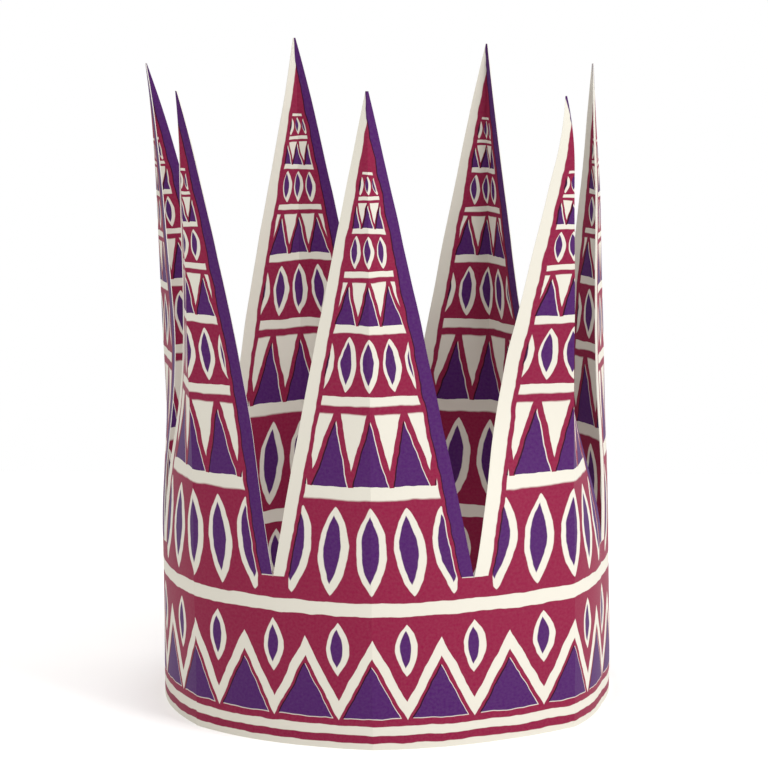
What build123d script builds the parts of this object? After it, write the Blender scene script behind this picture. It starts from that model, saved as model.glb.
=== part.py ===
from build123d import *
import os
from math import cos, pi, radians, sin, sqrt

# A paper crown: one printed strip, cut into tall points, creased up the
# middle of each point, curled into a ring and glued at a lap behind one
# crease. The seam crease is left of the front. +Z is up, the front crease
# faces -Y, and the crown stands on its bottom edge at z = 0.

# Driving dimensions, in millimetres and degrees
point_count = 7
crease_spacing = 81.5      # along the sheet, from one crease to the next
crown_height = 250.0       # bottom edge to tips
notch_height = 66.0        # bottom edge to the foot of each V notch
sheet_thickness = 0.3
tip_width = 1.2            # what the knife leaves at the top of a point
lap_width = 12.0           # tab that runs on behind the seam crease
lap_setback = 0.2          # tab's edge inside its point's cut edge, so that it doesn't show
band_fold = 12.0           # how far the wall turns at a crease in the band
point_fold = 50.0          # how far it turns at a crease up in a point
shoulder_rise = 90.0       # above the notch, where the halves of a point go flat

front_crease = 1           # creases count from the seam crease, which is 0

# Plan of the ring: creases on one circle, with a shallow arc between them
crease_step = 2 * pi / point_count
panel_turn = crease_step - radians(band_fold)
panel_radius = crease_spacing / panel_turn
crease_circle = panel_radius * sin(panel_turn / 2) / sin(crease_step / 2)
arc_centre_offset = crease_circle * cos(crease_step / 2) - panel_radius * cos(panel_turn / 2)

# Outline of the flat sheet: where each line lies, measured from the crease
half_width = crease_spacing / 2
edge_slope = (half_width - tip_width / 2) / (crown_height - notch_height)
shoulder_height = notch_height + shoulder_rise
lap_top_height = crown_height - (lap_width + lap_setback - tip_width / 2) / edge_slope


def crease_line(height):
    return 0.0


def cut_edge(height):
    return half_width - (height - notch_height) * edge_slope


def tab_edge(height):
    return min(lap_width, cut_edge(height) - lap_setback)


def crease_angle(crease):
    return -pi / 2 + (crease - front_crease) * crease_step


def in_band(crease, side, run, depth):
    """Plan position in the band: run along the sheet from a crease, depth inside the outer face."""
    if run == 0:
        reach = arc_centre_offset * cos(crease_step / 2) + sqrt(
            (panel_radius - depth) ** 2 - (arc_centre_offset * sin(crease_step / 2)) ** 2
        )
        return Vector(cos(crease_angle(crease)), sin(crease_angle(crease))) * reach
    middle = crease_angle(crease) + side * crease_step / 2
    turned = middle - side * (panel_turn / 2 - run / panel_radius)
    centre = Vector(cos(middle), sin(middle)) * arc_centre_offset
    return centre + Vector(cos(turned), sin(turned)) * (panel_radius - depth)


def in_point(crease, side, run, depth):
    """The same, up in a point, where each half is flat and the crease is sharper."""
    angle = crease_angle(crease)
    outward = Vector(cos(angle), sin(angle))
    if run == 0:
        return outward * (crease_circle - depth / cos(radians(point_fold / 2)))
    facing = angle + side * radians(point_fold / 2)
    normal = Vector(cos(facing), sin(facing))
    along = Vector(-sin(facing), cos(facing)) * side
    return outward * crease_circle + along * run - normal * depth


def band_slice(crease, side, start, end, start_depth, end_depth, thickness):
    """Curved slice of the wall between two runs from a crease."""

    def curve(layer):
        middle_depth = (start_depth + end_depth) / 2
        return [
            in_band(crease, side, start, start_depth + layer),
            in_band(crease, side, (start + end) / 2, middle_depth + layer),
            in_band(crease, side, end, end_depth + layer),
        ]

    outer, inner = curve(0), curve(thickness)
    return make_face([
        ThreePointArc(*outer),
        Line(outer[2], inner[2]),
        ThreePointArc(*reversed(inner)),
        Line(inner[0], outer[0]),
    ])


def point_slice(crease, side, start, end, depth, thickness):
    """Straight slice of one half of a point."""
    return make_face(Polyline(
        in_point(crease, side, start, depth),
        in_point(crease, side, end, depth),
        in_point(crease, side, end, depth + thickness),
        in_point(crease, side, start, depth + thickness),
        close=True,
    ))


def wall(crease, side, start, end, layers=1, tucked=False, heights=(shoulder_height, crown_height)):
    """Band and point between two lines on the sheet, which are functions of height."""
    thickness = layers * sheet_thickness
    depth = sheet_thickness if tucked else 0.0
    foot = band_slice(crease, side, start(notch_height), end(notch_height), depth, 0.0, thickness)
    slices = [Pos(0, 0, notch_height) * foot]
    for height in sorted(heights):
        flat = point_slice(crease, side, start(height), end(height), depth, thickness)
        slices.append(Pos(0, 0, height) * flat)
    return [extrude(foot, notch_height), loft(slices, ruled=True)]


def crown_sheet():
    """The whole strip, closed into a ring. Its far end tucks behind its start at the seam crease."""
    lap_heights = (shoulder_height, lap_top_height, crown_height)
    pieces = wall(0, 1, crease_line, tab_edge, layers=2, heights=lap_heights)
    pieces += wall(0, 1, tab_edge, cut_edge, heights=lap_heights)
    pieces += wall(0, -1, crease_line, cut_edge, tucked=True)
    for crease in range(1, point_count):
        pieces += wall(crease, 1, crease_line, cut_edge)
        pieces += wall(crease, -1, crease_line, cut_edge)
    return pieces[0].fuse(*pieces[1:]).clean()


sheet = crown_sheet()
middle = sheet.bounding_box().center()
sheet = Pos(-middle.X, -middle.Y, 0) * sheet

os.makedirs("parts", exist_ok=True)
export_step(sheet, "parts/crown_sheet.step")
print("crown_sheet volume", round(sheet.volume, 1), "mm3, creases on a circle of radius", round(crease_circle, 2))
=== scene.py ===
from math import cos, sin, radians, pi, log

import bpy
from mathutils import Matrix, Vector


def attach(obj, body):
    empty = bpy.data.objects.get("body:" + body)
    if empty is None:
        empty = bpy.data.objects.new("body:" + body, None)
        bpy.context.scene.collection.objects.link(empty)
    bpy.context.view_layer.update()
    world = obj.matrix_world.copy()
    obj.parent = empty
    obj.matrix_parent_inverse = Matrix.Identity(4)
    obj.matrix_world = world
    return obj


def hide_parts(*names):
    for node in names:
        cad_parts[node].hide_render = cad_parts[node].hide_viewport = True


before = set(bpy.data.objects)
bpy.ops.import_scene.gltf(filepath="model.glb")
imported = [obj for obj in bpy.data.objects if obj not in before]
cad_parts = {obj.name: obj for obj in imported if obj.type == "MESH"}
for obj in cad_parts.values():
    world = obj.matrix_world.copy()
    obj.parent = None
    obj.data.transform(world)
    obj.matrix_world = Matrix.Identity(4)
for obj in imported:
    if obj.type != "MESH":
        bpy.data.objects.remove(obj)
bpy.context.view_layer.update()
print("stage: frame loaded")


def connect(tree, value, socket):
    if isinstance(value, bpy.types.NodeSocket):
        tree.links.new(value, socket)
    else:
        socket.default_value = value


def makeNode(tree, kind, settings=None, **inputs):
    node = tree.nodes.new(kind)
    for name, value in (settings or {}).items():
        setattr(node, name, value)
    for name, value in inputs.items():
        connect(tree, value, node.inputs[name.replace("_", " ")])
    return node


class MathOn:
    # sums between sockets; the same math node serves geometry and shader trees
    def __init__(self, tree):
        self.tree = tree

    def do(self, operation, *values, clamp=False):
        node = makeNode(self.tree, "ShaderNodeMath", {"operation": operation, "use_clamp": clamp})
        for place, value in enumerate(values):
            connect(self.tree, value, node.inputs[place])
        return node.outputs[0]

    def add(self, first, second):
        return self.do("ADD", first, second)

    def sub(self, first, second):
        return self.do("SUBTRACT", first, second)

    def mul(self, first, second):
        return self.do("MULTIPLY", first, second)

    def div(self, first, second):
        return self.do("DIVIDE", first, second)

    def smaller(self, first, second):
        return self.do("MINIMUM", first, second)

    def larger(self, first, second):
        return self.do("MAXIMUM", first, second)

    def power(self, base, exponent):
        return self.do("POWER", base, exponent)

    def scaled(self, value, factor, start):
        return self.do("MULTIPLY_ADD", value, factor, start)

    def rest(self, value):
        return self.sub(1.0, value)

    def blend(self, first, second, share):
        return self.add(self.mul(first, self.rest(share)), self.mul(second, share))

    # masks: 1 where the distance is positive, with a soft printed edge
    def inside(self, distance, soft):
        return self.do("MULTIPLY_ADD", distance, 1 / soft, 0.5, clamp=True)

    def between(self, value, low, high, soft):
        return self.mul(self.inside(self.sub(value, low), soft), self.inside(self.sub(high, value), soft))

    def both(self, *masks):
        result = masks[0]
        for mask in masks[1:]:
            result = self.mul(result, mask)
        return result

    def either(self, *masks):
        result = masks[0]
        for mask in masks[1:]:
            result = self.larger(result, mask)
        return result

    def vector(self, *parts):
        node = self.tree.nodes.new("ShaderNodeCombineXYZ")
        for place, value in enumerate(parts):
            connect(self.tree, value, node.inputs[place])
        return node.outputs[0]

    def parts(self, vector):
        node = makeNode(self.tree, "ShaderNodeSeparateXYZ", Vector=vector)
        return node.outputs[0], node.outputs[1], node.outputs[2]


# the folded sheet, in metres; the map holds the outer face, the inner face above it, then the cut edges
sheet = {
    "pointCount": 7,
    "creaseSpacing": 0.0815,
    "height": 0.250,
    "notch": 0.066,
    "shoulder": 0.156,
    "thickness": 0.0003,
    "tipWidth": 0.0012,
    "bandFold": radians(12),
    "lapWidth": 0.012,
    "lapSetback": 0.0002,
    "tuck": 0.00036,
    "ringShift": 0.00109,
    "edgeBulge": 0.0009,
    "edgeWobble": 0.0005,
    "edgeWobbleScale": 38.0,
    "waviness": 0.0022,
    "waveScale": 13.0,
    "columns": 13,
    "rows": 126,
    "mergeReach": 0.00003,
    "sharpAngle": radians(7),
    "mapLength": 0.584,
    "mapHeight": 0.43,
    "innerMapStart": 0.45,
    "bottomEdgeMap": (0.905, 0.92),
    "cutEdgeMap": (0.94, 0.96),
    "cutEdgeStrips": 16,
    # one value per point, counted from the seam point: degrees, then millimetres
    "fold": (54, 30, 80, 46, 60, 38, 94),
    "twist": (-1, 0, 0, 3, -1, -14, -16),
    "push": (0, 0, 3, 0, 0, 0, 0),
    "slide": (0, 0, 5, 0, 0, 0, 0),
    "lean": (4, 1, 0, -6, -3, 1, 6),
    "rise": (3, 7, 0, 4, 5, 7, 4),
    "curl": (1, 1, -4, 0, 1, 2, 1),
    "leanPower": 1.5,
    "curlSharpness": 6.5,
}

ink = {
    "paper": (0.68, 0.655, 0.575, 1),
    "magenta": (0.225, 0.002, 0.040, 1),
    "purple": (0.058, 0.003, 0.105, 1),
    "cutEdge": (0.68, 0.66, 0.60, 1),
    "roughness": 0.55,
    "sheen": 0.14,
    "edgeRoughness": 0.8,
    "shiftAlong": 0.45,
    "shiftUp": -0.3,
    "wobble": 1.8,
    "wobbleScale": 0.11,
    "mottle": 0.06,
    "mottleBase": 0.955,
    "mottleScale": 0.9,
    "fibreScale": 2.2,
    "fibreStrength": 0.12,
    "fibreDepth": 0.0002,
}

# printed design: millimetres from the crease and up from the base, or shares of a tier or half width
design = {
    "panel": 81.5,
    "height": 250.0,
    "notch": 66.0,
    "softEdge": 0.25,
    "softShare": 0.02,
    "baseMargin": (-5, 2.5),
    "baseLine": (5.6, 9.2),
    "bandLine": (52.8, 58.2),
    "peaksPerPanel": 3,
    "zigzagPeak": 44.0,
    "zigzagDrop": 25.0,
    "zigzagWidth": 7.6,
    "triangleGap": 11.0,
    "triangleRows": (12.0, 52.0),
    "bandLeafMiddle": 39.5,
    "bandLeafHalfHeight": 10.5,
    "bandLeafHalfWidth": 4.4,
    "bandLeafRim": 2.1,
    "tierCount": 7.0,
    "tierRatio": 1.31,
    "tierLine": (0.88, 1.1),
    "leavesPerHalf": 2.5,
    "leafStart": 0.05,
    "leafLength": 0.76,
    "leafFullness": 0.8,
    "leafReach": 0.40,
    "leafRim": 0.17,
    "teethPerHalf": 2.0,
    "toothHeight": 0.80,
    "toothInset": 0.10,
    "toothGap": 0.16,
    "toothCeiling": 0.78,
    "stripeStart": 66.6,
    "stripeAtTip": 2.0,
    "stripeGrowth": 3.1,
    "stripeGap": 1.9,
}


def printGroup():
    group = bpy.data.node_groups.new("crownPrint", "ShaderNodeTree")
    for name in ("Along", "Up"):
        group.interface.new_socket(name=name, in_out="INPUT", socket_type="NodeSocketFloat")
    for name in ("Cream", "Purple"):
        group.interface.new_socket(name=name, in_out="OUTPUT", socket_type="NodeSocketFloat")
    entry = group.nodes.new("NodeGroupInput")
    leave = group.nodes.new("NodeGroupOutput")
    along = entry.outputs["Along"]
    up = entry.outputs["Up"]
    m = MathOn(group)
    soft = design["softEdge"]
    softShare = design["softShare"]

    # plain margin and lines
    lines = m.either(*(m.between(up, *design[name], soft) for name in ("baseMargin", "baseLine", "bandLine")))

    # lower band: zigzag, triangles under its peaks, leaves over its valleys
    period = design["panel"] / design["peaksPerPanel"]
    bandTop = design["bandLine"][0]
    phase = m.do("FRACT", m.add(m.div(along, period), 20.5))  # the whole part only keeps it positive
    slope = m.mul(m.do("ABSOLUTE", m.sub(phase, 0.5)), 2)
    gap = m.sub(m.scaled(slope, -design["zigzagDrop"], design["zigzagPeak"]), up)
    inBand = m.between(up, design["baseLine"][1], bandTop, soft)
    zigzag = m.both(m.between(gap, 0, design["zigzagWidth"], soft), inBand)
    underPeak = m.inside(m.sub(gap, design["triangleGap"]), soft)
    triangles = m.both(underPeak, m.between(up, *design["triangleRows"], soft))
    sideways = m.mul(m.rest(slope), period / 2)
    leafUp = m.div(m.sub(up, design["bandLeafMiddle"]), design["bandLeafHalfHeight"])
    leafWidth = m.mul(m.rest(m.power(leafUp, 2)), design["bandLeafHalfWidth"])
    bandLeaves = m.both(m.inside(m.sub(leafWidth, sideways), soft), inBand)
    coreWidth = m.sub(leafWidth, design["bandLeafRim"])
    bandCores = m.both(m.inside(m.sub(coreWidth, sideways), soft), inBand)

    # points: tiers that shrink towards the tip
    below = m.larger(m.sub(design["height"], up), 1.0)
    tierStart = design["bandLine"][1]
    fallen = m.do("LOGARITHM", m.div(below, design["height"] - tierStart), 2.718282)
    level = m.div(fallen, -log(design["tierRatio"]))
    tier = m.do("FLOOR", level)
    rise = m.sub(level, tier)
    odd = m.do("MODULO", tier, 2)
    fullHalf = design["panel"] / 2
    narrowing = fullHalf / (design["height"] - design["notch"])
    halfWidth = m.smaller(m.mul(below, narrowing), fullHalf)
    share = m.div(along, halfWidth)
    edgeGap = m.sub(halfWidth, m.do("ABSOLUTE", along))
    stripeWidth = m.scaled(halfWidth, design["stripeGrowth"] / fullHalf, design["stripeAtTip"])
    clear = m.inside(m.sub(edgeGap, m.add(stripeWidth, design["stripeGap"])), soft)
    overBand = m.inside(m.sub(up, tierStart), soft)
    underTop = m.inside(m.sub(design["tierCount"], level), softShare)
    field = m.both(overBand, underTop, clear)
    tierLines = m.both(m.between(rise, *design["tierLine"], softShare), field)

    # upright leaves in the even tiers
    cellPhase = m.do("FRACT", m.scaled(share, design["leavesPerHalf"], 10.5))
    cellAway = m.do("ABSOLUTE", m.sub(cellPhase, 0.5))
    climb = m.div(m.sub(rise, design["leafStart"]), design["leafLength"])
    arch = m.larger(m.do("SINE", m.mul(climb, pi)), 0.0)
    swell = m.power(arch, design["leafFullness"])
    leafPlace = m.both(m.between(climb, 0.0, 1.0, softShare), m.rest(odd), field)
    leaves = m.both(m.inside(m.sub(m.mul(swell, design["leafReach"]), cellAway), softShare), leafPlace)
    coreReach = m.scaled(swell, design["leafReach"], -design["leafRim"])
    cores = m.both(m.inside(m.sub(coreReach, cellAway), softShare), leafPlace)

    # teeth in the odd tiers
    toothPhase = m.do("FRACT", m.scaled(share, design["teethPerHalf"], 10.0))
    toothAway = m.mul(m.do("ABSOLUTE", m.sub(toothPhase, 0.5)), 2)
    toothTop = m.mul(toothAway, design["toothHeight"])
    lowTeeth = m.inside(m.sub(m.sub(toothTop, design["toothInset"]), rise), softShare)
    highTeeth = m.inside(m.sub(rise, m.add(toothTop, design["toothGap"])), softShare)
    ceiling = m.inside(m.sub(design["toothCeiling"], rise), softShare)
    purpleTeeth = m.both(lowTeeth, odd, field)
    creamTeeth = m.both(highTeeth, ceiling, odd, field)

    # plain stripes along the two cut edges
    overNotch = m.inside(m.sub(up, design["stripeStart"]), soft)
    stripe = m.both(m.inside(m.sub(stripeWidth, edgeGap), soft), overNotch)
    toRight = m.inside(along, soft)
    creamStripe = m.both(stripe, m.rest(toRight))
    purpleStripe = m.both(stripe, toRight)

    cream = m.either(lines, zigzag, bandLeaves, tierLines, leaves, creamTeeth, creamStripe)
    purple = m.either(triangles, bandCores, cores, purpleTeeth, purpleStripe)
    group.links.new(cream, leave.inputs["Cream"])
    group.links.new(purple, leave.inputs["Purple"])
    return group


def mixColour(tree, blend, factor, first, second):
    node = makeNode(tree, "ShaderNodeMix", {"data_type": "RGBA", "blend_type": blend})
    for value, place in ((factor, 0), (first, 6), (second, 7)):  # the colour sockets among the mix inputs
        connect(tree, value, node.inputs[place])
    return node.outputs[2]


def printLayer(tree, group, along, up):
    node = makeNode(tree, "ShaderNodeGroup", {"node_tree": group}, Along=along, Up=up)
    return node.outputs["Cream"], node.outputs["Purple"]


def paperMaterial(name, group, mapStart, mirror):
    material = bpy.data.materials.new(name)
    material.use_nodes = True
    tree = material.node_tree
    m = MathOn(tree)
    shader = tree.nodes["Principled BSDF"]
    shader.inputs["Roughness"].default_value = ink["roughness"]
    shader.inputs["Specular IOR Level"].default_value = ink["sheen"]
    layout = makeNode(tree, "ShaderNodeUVMap", {"uv_map": "OFBake"})
    mapX, mapY, _ = m.parts(layout.outputs[0])
    place = m.mul(mapX, sheet["mapLength"] * 1000)
    up = m.mul(m.sub(mapY, mapStart), design["height"] / sheet["mapHeight"])
    flat = m.vector(place, up)

    # hand-cut wobble of the printed shapes
    drift = makeNode(tree, "ShaderNodeTexNoise", Scale=ink["wobbleScale"], Detail=2.0, Vector=flat)
    driftSplit = makeNode(tree, "ShaderNodeSeparateColor", Color=drift.outputs["Color"])
    wobbleAlong = m.mul(m.sub(driftSplit.outputs[0], 0.5), ink["wobble"])
    wobbleUp = m.mul(m.sub(driftSplit.outputs[1], 0.5), ink["wobble"])
    panel = m.do("FLOOR", m.div(place, design["panel"]))
    along = m.sub(place, m.mul(m.add(panel, 0.5), design["panel"]))
    if mirror:
        along = m.mul(along, -1.0)
    along = m.add(along, wobbleAlong)
    up = m.add(up, wobbleUp)

    # magenta is left out where cream or purple goes; purple is printed a little out of place
    cream, leftOut = printLayer(tree, group, along, up)
    _, purple = printLayer(tree, group, m.add(along, ink["shiftAlong"]), m.add(up, ink["shiftUp"]))
    mottle = makeNode(tree, "ShaderNodeTexNoise", Scale=ink["mottleScale"], Detail=4.0, Vector=flat)
    cover = m.do("MULTIPLY_ADD", mottle.outputs[0], ink["mottle"], ink["mottleBase"], clamp=True)
    magentaShare = m.mul(m.rest(m.larger(cream, leftOut)), cover)
    purpleShare = m.mul(purple, cover)
    ground = mixColour(tree, "MIX", magentaShare, ink["paper"], ink["magenta"])
    purpleFilter = tuple(ink["purple"][part] / ink["paper"][part] for part in range(3)) + (1,)
    colour = mixColour(tree, "MULTIPLY", purpleShare, ground, purpleFilter)
    tree.links.new(colour, shader.inputs["Base Color"])

    fibre = makeNode(tree, "ShaderNodeTexNoise", Scale=ink["fibreScale"], Detail=3.0, Vector=flat)
    bump = makeNode(tree, "ShaderNodeBump", Strength=ink["fibreStrength"], Distance=ink["fibreDepth"],
                    Height=fibre.outputs[0])
    tree.links.new(bump.outputs[0], shader.inputs["Normal"])
    return material


def plainMaterial(name, colour, roughness, sheen=None):
    material = bpy.data.materials.new(name)
    material.use_nodes = True
    shader = material.node_tree.nodes["Principled BSDF"]
    shader.inputs["Base Color"].default_value = colour
    shader.inputs["Roughness"].default_value = roughness
    if sheen is not None:
        shader.inputs["Specular IOR Level"].default_value = sheen
    return material


crownPrint = printGroup()
outsidePrint = paperMaterial("crownOutsidePrint", crownPrint, 0.0, False)
insidePrint = paperMaterial("crownInsidePrint", crownPrint, sheet["innerMapStart"], True)
cutEdge = plainMaterial("crownCutEdge", ink["cutEdge"], ink["edgeRoughness"])
print("stage: materials made")

# tree input and the sheet value that sets it
treeInputs = {
    "Height": "height",
    "Notch": "notch",
    "Shoulder": "shoulder",
    "Spacing": "creaseSpacing",
    "Waviness": "waviness",
}


# a rule laid over fourteen half panels and the glue lap
def sheetTree():
    tree = bpy.data.node_groups.new("foldedSheet", "GeometryNodeTree")
    tree.interface.new_socket(name="Geometry", in_out="OUTPUT", socket_type="NodeSocketGeometry")
    for name, key in treeInputs.items():
        socket = tree.interface.new_socket(name=name, in_out="INPUT", socket_type="NodeSocketFloat")
        socket.default_value = sheet[key]
    entry = tree.nodes.new("NodeGroupInput")
    leave = tree.nodes.new("NodeGroupOutput")
    height, notch, shoulder, spacing, waviness = (entry.outputs[name] for name in treeInputs)
    count = sheet["pointCount"]
    m = MathOn(tree)

    # one flat strip for each half panel, and one more for the lap
    grid = makeNode(tree, "GeometryNodeMeshGrid", Size_X=1.0, Size_Y=1.0,
                    Vertices_X=sheet["columns"], Vertices_Y=sheet["rows"])
    single = makeNode(tree, "GeometryNodeGeometryToInstance", Geometry=grid.outputs["Mesh"])
    copies = makeNode(tree, "GeometryNodeDuplicateElements", {"domain": "INSTANCE"},
                      Geometry=single.outputs[0], Amount=count * 2 + 1)
    numbered = makeNode(tree, "GeometryNodeStoreNamedAttribute", {"data_type": "INT", "domain": "INSTANCE"},
                        Geometry=copies.outputs["Geometry"], Name="half",
                        Value=copies.outputs["Duplicate Index"])
    strips = makeNode(tree, "GeometryNodeRealizeInstances", Geometry=numbered.outputs[0])
    half = makeNode(tree, "GeometryNodeInputNamedAttribute", {"data_type": "INT"}, Name="half").outputs[0]

    isLap = m.do("GREATER_THAN", half, count * 2 - 0.5)
    point = m.mul(m.do("FLOOR", m.mul(half, 0.5)), m.rest(isLap))
    isRight = m.larger(m.do("MODULO", half, 2.0), isLap)
    side = m.scaled(isRight, 2.0, -1.0)
    gridX, gridY, _ = m.parts(tree.nodes.new("GeometryNodeInputPosition").outputs[0])
    across = m.add(gridX, 0.5)
    rowShare = m.add(gridY, 0.5)
    up = m.mul(rowShare, height)

    # half width at this height, slightly full and slightly uneven above the notch
    halfSpacing = m.mul(spacing, 0.5)
    aboveNotch = m.do("DIVIDE", m.sub(up, notch), m.sub(height, notch), clamp=True)
    straight = m.sub(halfSpacing, m.mul(aboveNotch, m.sub(halfSpacing, sheet["tipWidth"] / 2)))
    hump = m.mul(m.mul(aboveNotch, m.rest(aboveNotch)), 4)
    cutNoise = makeNode(tree, "ShaderNodeTexNoise", Scale=sheet["edgeWobbleScale"], Detail=1.0,
                        Vector=m.vector(half, 0.0, up))
    uneven = m.mul(m.sub(cutNoise.outputs[0], 0.5), sheet["edgeWobble"] * 2)
    cutAt = m.add(straight, m.mul(hump, m.add(uneven, sheet["edgeBulge"])))
    lapRoom = m.larger(m.sub(cutAt, sheet["lapSetback"]), sheet["lapSetback"])
    lapAt = m.smaller(sheet["lapWidth"], lapRoom)
    run = m.mul(across, m.blend(cutAt, lapAt, isLap))
    signed = m.mul(side, run)

    def perPoint(name, scale):
        node = makeNode(tree, "GeometryNodeIndexSwitch", {"data_type": "FLOAT"})
        while len(node.index_switch_items) < count:
            node.index_switch_items.new()
        tree.links.new(point, node.inputs[0])
        for place, value in enumerate(sheet[name]):
            node.inputs[place + 1].default_value = value * scale
        return node.outputs[0]

    # in the band a half panel bends round an arc between creases
    step = 2 * pi / count
    panelTurn = step - sheet["bandFold"]
    panelRadius = m.div(spacing, panelTurn)
    circle = m.mul(panelRadius, sin(panelTurn / 2) / sin(step / 2))
    offset = m.sub(m.mul(circle, cos(step / 2)), m.mul(panelRadius, cos(panelTurn / 2)))
    crease = m.scaled(m.sub(point, 1.0), step, -pi / 2)
    middle = m.scaled(side, step / 2, crease)
    turned = m.sub(middle, m.mul(side, m.sub(panelTurn / 2, m.div(run, panelRadius))))
    bandX = m.add(m.mul(offset, m.do("COSINE", middle)), m.mul(panelRadius, m.do("COSINE", turned)))
    bandY = m.add(m.mul(offset, m.do("SINE", middle)), m.mul(panelRadius, m.do("SINE", turned)))

    # in the point it is flat and turned about its crease
    turn = m.add(perPoint("twist", radians(1)), m.mul(side, perPoint("fold", radians(0.5))))
    facing = m.add(crease, turn)
    creaseCos = m.do("COSINE", crease)
    creaseSin = m.do("SINE", crease)
    pointX = m.sub(m.mul(circle, creaseCos), m.mul(signed, m.do("SINE", facing)))
    pointY = m.add(m.mul(circle, creaseSin), m.mul(signed, m.do("COSINE", facing)))

    grow = makeNode(tree, "ShaderNodeMapRange", {"interpolation_type": "SMOOTHSTEP"},
                    Value=up, From_Min=notch, From_Max=shoulder)
    flatX = m.blend(bandX, pointX, grow.outputs[0])
    flatY = m.blend(bandY, pointY, grow.outputs[0])

    # hand bends: the crease pushed out or along, the point leaning, its tip curling
    nearCrease = m.rest(m.div(run, halfSpacing))
    lean = m.mul(perPoint("lean", 0.001), m.power(aboveNotch, sheet["leanPower"]))
    sharpness = sheet["curlSharpness"]
    tipShare = m.do("MULTIPLY_ADD", aboveNotch, sharpness, 1 - sharpness, clamp=True)
    curl = m.mul(perPoint("curl", 0.001), m.power(tipShare, 2.0))
    push = m.mul(perPoint("push", 0.001), nearCrease)
    isSeamLeft = m.do("LESS_THAN", half, 0.5)
    tuck = m.mul(m.larger(isLap, m.mul(isSeamLeft, nearCrease)), -sheet["tuck"])
    outward = m.add(m.add(push, m.add(lean, curl)), tuck)
    sideways = m.mul(perPoint("slide", 0.001), nearCrease)
    x = m.add(flatX, m.sub(m.mul(outward, creaseCos), m.mul(sideways, creaseSin)))
    y = m.add(flatY, m.add(m.mul(outward, creaseSin), m.mul(sideways, creaseCos)))
    z = m.add(up, m.mul(perPoint("rise", 0.001), m.power(aboveNotch, 2.0)))

    # slow waves in the paper
    wave = makeNode(tree, "ShaderNodeTexNoise", Scale=sheet["waveScale"], Detail=1.0,
                    Vector=m.vector(flatX, flatY, up))
    swell = m.mul(m.sub(wave.outputs[0], 0.5), waviness)
    x = m.add(x, m.mul(swell, m.div(flatX, circle)))
    y = m.add(y, m.mul(swell, m.div(flatY, circle)))
    place = m.vector(x, m.add(y, sheet["ringShift"]), z)

    # the flat sheet is also the layout of the colour map, with the lap at its end
    lapStart = m.mul(isLap, sheet["creaseSpacing"] * (count - 0.5))
    flatAlong = m.add(m.mul(m.add(point, 0.5), spacing), m.add(signed, lapStart))
    mapPlace = m.vector(m.div(flatAlong, sheet["mapLength"]), m.mul(rowShare, sheet["mapHeight"]))
    mapped = makeNode(tree, "GeometryNodeStoreNamedAttribute", {"data_type": "FLOAT2", "domain": "CORNER"},
                      Geometry=strips.outputs[0], Name="OFBake", Value=mapPlace)
    outwards = makeNode(tree, "GeometryNodeFlipFaces", Mesh=mapped.outputs[0],
                        Selection=m.do("LESS_THAN", side, 0.0))
    moved = makeNode(tree, "GeometryNodeSetPosition", Geometry=outwards.outputs[0], Position=place)
    merged = makeNode(tree, "GeometryNodeMergeByDistance", Geometry=moved.outputs[0],
                      Distance=sheet["mergeReach"])
    smooth = makeNode(tree, "GeometryNodeSetShadeSmooth", Geometry=merged.outputs[0])
    real = makeNode(tree, "GeometryNodeRealizeInstances", Geometry=smooth.outputs[0])
    painted = makeNode(tree, "GeometryNodeSetMaterial", Geometry=real.outputs[0], Material=outsidePrint)
    tree.links.new(painted.outputs[0], leave.inputs[0])
    return tree


# the modifiers' result becomes the piece's own mesh
def settle(piece):
    bpy.context.view_layer.update()
    graph = bpy.context.evaluated_depsgraph_get()
    evaluated = piece.evaluated_get(graph)
    mesh = bpy.data.meshes.new_from_object(evaluated, preserve_all_data_layers=True, depsgraph=graph)
    piece.modifiers.clear()
    piece.data = mesh
    return mesh


# the thickness puts the outer faces first, then the inner faces, then the cut edges
def layOutSheet(mesh, outerCount):
    layer = mesh.uv_layers["OFBake"]
    spots = [0.0] * (len(layer.data) * 2)
    layer.data.foreach_get("uv", spots)
    halfPanels = sheet["mapLength"] / sheet["creaseSpacing"] * 2
    stripCount = sheet["cutEdgeStrips"]
    for face in mesh.polygons:
        face.material_index = min(face.index // outerCount, 2)
        if face.material_index == 0:
            continue
        loops = list(face.loop_indices)
        if face.material_index == 1:
            for loop in loops:
                spots[2 * loop + 1] += sheet["innerMapStart"]
            continue
        # one short strip for each half panel's cut edge, and one long strip for the bottom edge
        ups = [spots[2 * loop + 1] / sheet["mapHeight"] for loop in loops]
        vertices = [mesh.loops[loop].vertex_index for loop in loops]
        outerVertices = sorted(vertices)[:2]
        isBottom = max(ups) < 1e-4
        centre = sum(spots[2 * loop] for loop in loops) / len(loops) * halfPanels
        atSeam = abs(centre - 1) < 0.02
        strip = stripCount - 1 if atSeam else int(centre)
        outerMap, innerMap = sheet["bottomEdgeMap" if isBottom else "cutEdgeMap"]
        for vertex, rowUp, loop in zip(vertices, ups, loops):
            if not isBottom:
                spots[2 * loop] = (strip + 0.03 + 0.9 * rowUp) / stripCount
            spots[2 * loop + 1] = outerMap if vertex in outerVertices else innerMap
    layer.data.foreach_set("uv", spots)


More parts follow.
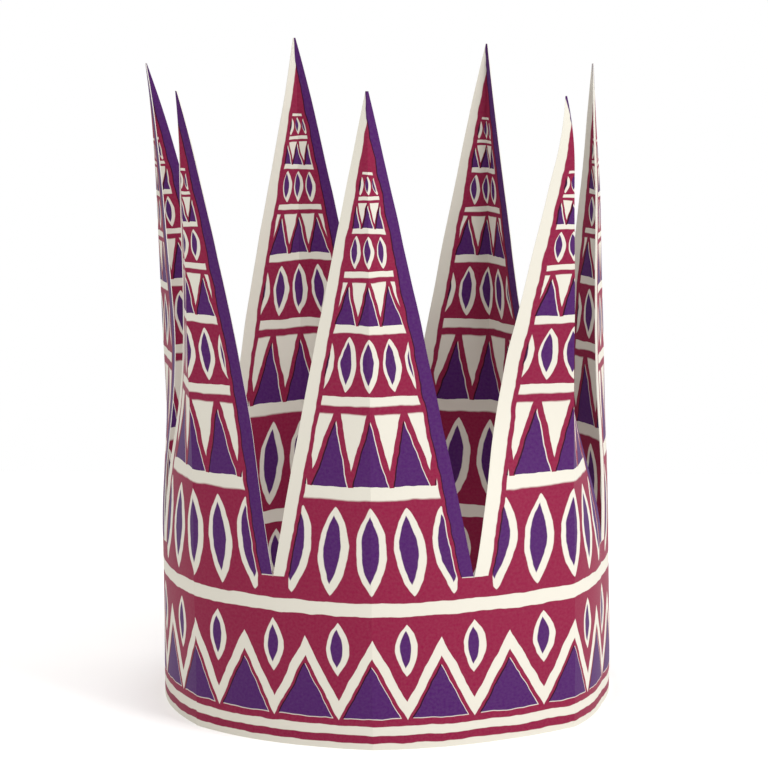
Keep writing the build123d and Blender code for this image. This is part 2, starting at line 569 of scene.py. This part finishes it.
def buildCrown():
    piece = bpy.data.objects.new("crownSheet", bpy.data.meshes.new("crownSheetStart"))
    bpy.context.scene.collection.objects.link(piece)
    tree = sheetTree()
    modifier = piece.modifiers.new("foldedSheet", "NODES")
    modifier.node_group = tree
    identifiers = {item.name: item.identifier for item in tree.interface.items_tree if item.in_out == "INPUT"}
    for name, key in treeInputs.items():
        modifier[identifiers[name]] = sheet[key]
    outerCount = len(settle(piece).polygons)
    print("stage: sheet folded,", outerCount, "faces")

    thick = piece.modifiers.new("thickness", "SOLIDIFY")
    thick.thickness = sheet["thickness"]
    thick.offset = -1
    mesh = settle(piece)
    mesh.name = "crownSheet"
    mesh.materials.clear()
    for material in (outsidePrint, insidePrint, cutEdge):
        mesh.materials.append(material)
    layOutSheet(mesh, outerCount)
    mesh.set_sharp_from_angle(angle=sheet["sharpAngle"])
    mesh.update()
    return piece


crown = buildCrown()
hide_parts("crown_sheet")
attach(crown, "root")
print("stage: crown built,", len(crown.data.polygons), "faces")

studio = {
    "axis": Vector((0, 0.0011, 0)),
    "lookHeight": 0.1268,
    "lift": radians(10.9),
    "around": radians(3.39),
    "distance": 1.76,
    "lens": 205.0,
    "sensor": 36.0,
    "roll": radians(-0.46),
    "farEnd": 50.0,
    "fillColour": (1, 0.97, 0.94, 1),
    "fillStrength": 0.55,
    "floorColour": (0.97, 0.97, 0.97, 1),
    "floorRoughness": 0.9,
    "floorSheen": 0.1,
    "floorSide": 2.0,
    "floorBack": 0.42,
    # name, place, aim, size in metres, watts
    "lights": (
        ("key", (1.35, -0.95, 1.05), (0, 0, 0.12), 0.8, 20),
        ("top", (-0.1, -0.1, 2.0), (0, 0, 0.1), 1.4, 26),
    ),
}


def areaLight(name, place, target, size, power):
    data = bpy.data.lights.new(name, "AREA")
    data.shape = "RECTANGLE"
    data.size = size
    data.size_y = size
    data.energy = power
    lamp = bpy.data.objects.new(name, data)
    lamp.location = place
    lamp.rotation_euler = (Vector(target) - Vector(place)).to_track_quat("-Z", "Y").to_euler()
    bpy.context.scene.collection.objects.link(lamp)


def buildFloor(scene):
    side = studio["floorSide"]
    back = studio["floorBack"]
    mesh = bpy.data.meshes.new("floor")
    corners = [(-side, -side, 0), (side, -side, 0), (side, back, 0), (-side, back, 0)]
    mesh.from_pydata(corners, [], [(0, 1, 2, 3)])
    mesh.materials.append(plainMaterial("floorPaint", studio["floorColour"], studio["floorRoughness"],
                                        studio["floorSheen"]))
    floor = bpy.data.objects.new("floor", mesh)
    scene.collection.objects.link(floor)


# soft light on the crown, plain white to the camera and in reflections
def buildWorld(scene):
    world = bpy.data.worlds.new("studio")
    scene.world = world
    world.use_nodes = True
    tree = world.node_tree
    tree.nodes.clear()
    m = MathOn(tree)
    path = tree.nodes.new("ShaderNodeLightPath")
    seen = m.either(*(path.outputs[name] for name in ("Is Camera Ray", "Is Glossy Ray", "Is Transmission Ray")))
    fill = makeNode(tree, "ShaderNodeBackground", Color=studio["fillColour"], Strength=studio["fillStrength"])
    white = makeNode(tree, "ShaderNodeBackground", Color=(1, 1, 1, 1), Strength=1.0)
    mix = tree.nodes.new("ShaderNodeMixShader")
    for value, place in ((seen, 0), (fill.outputs[0], 1), (white.outputs[0], 2)):
        tree.links.new(value, mix.inputs[place])
    out = tree.nodes.new("ShaderNodeOutputWorld")
    tree.links.new(mix.outputs[0], out.inputs[0])


def buildCamera(scene):
    lookAt = studio["axis"] + Vector((0, 0, studio["lookHeight"]))
    turn = studio["around"] - pi / 2
    lift = studio["lift"]
    away = Vector((cos(lift) * cos(turn), cos(lift) * sin(turn), sin(lift)))
    data = bpy.data.cameras.new("camera")
    data.lens = studio["lens"]
    data.sensor_width = studio["sensor"]
    data.clip_end = studio["farEnd"]
    camera = bpy.data.objects.new("camera", data)
    camera.location = lookAt + away * studio["distance"]
    aim = (-away).to_track_quat("-Z", "Y")
    camera.rotation_euler = (aim.to_matrix() @ Matrix.Rotation(studio["roll"], 3, "Z")).to_euler()
    scene.collection.objects.link(camera)
    scene.camera = camera


scene = bpy.context.scene
scene.view_settings.view_transform = "Standard"
buildFloor(scene)
buildWorld(scene)
for light in studio["lights"]:
    areaLight(*light)
buildCamera(scene)
print("stage: studio set")
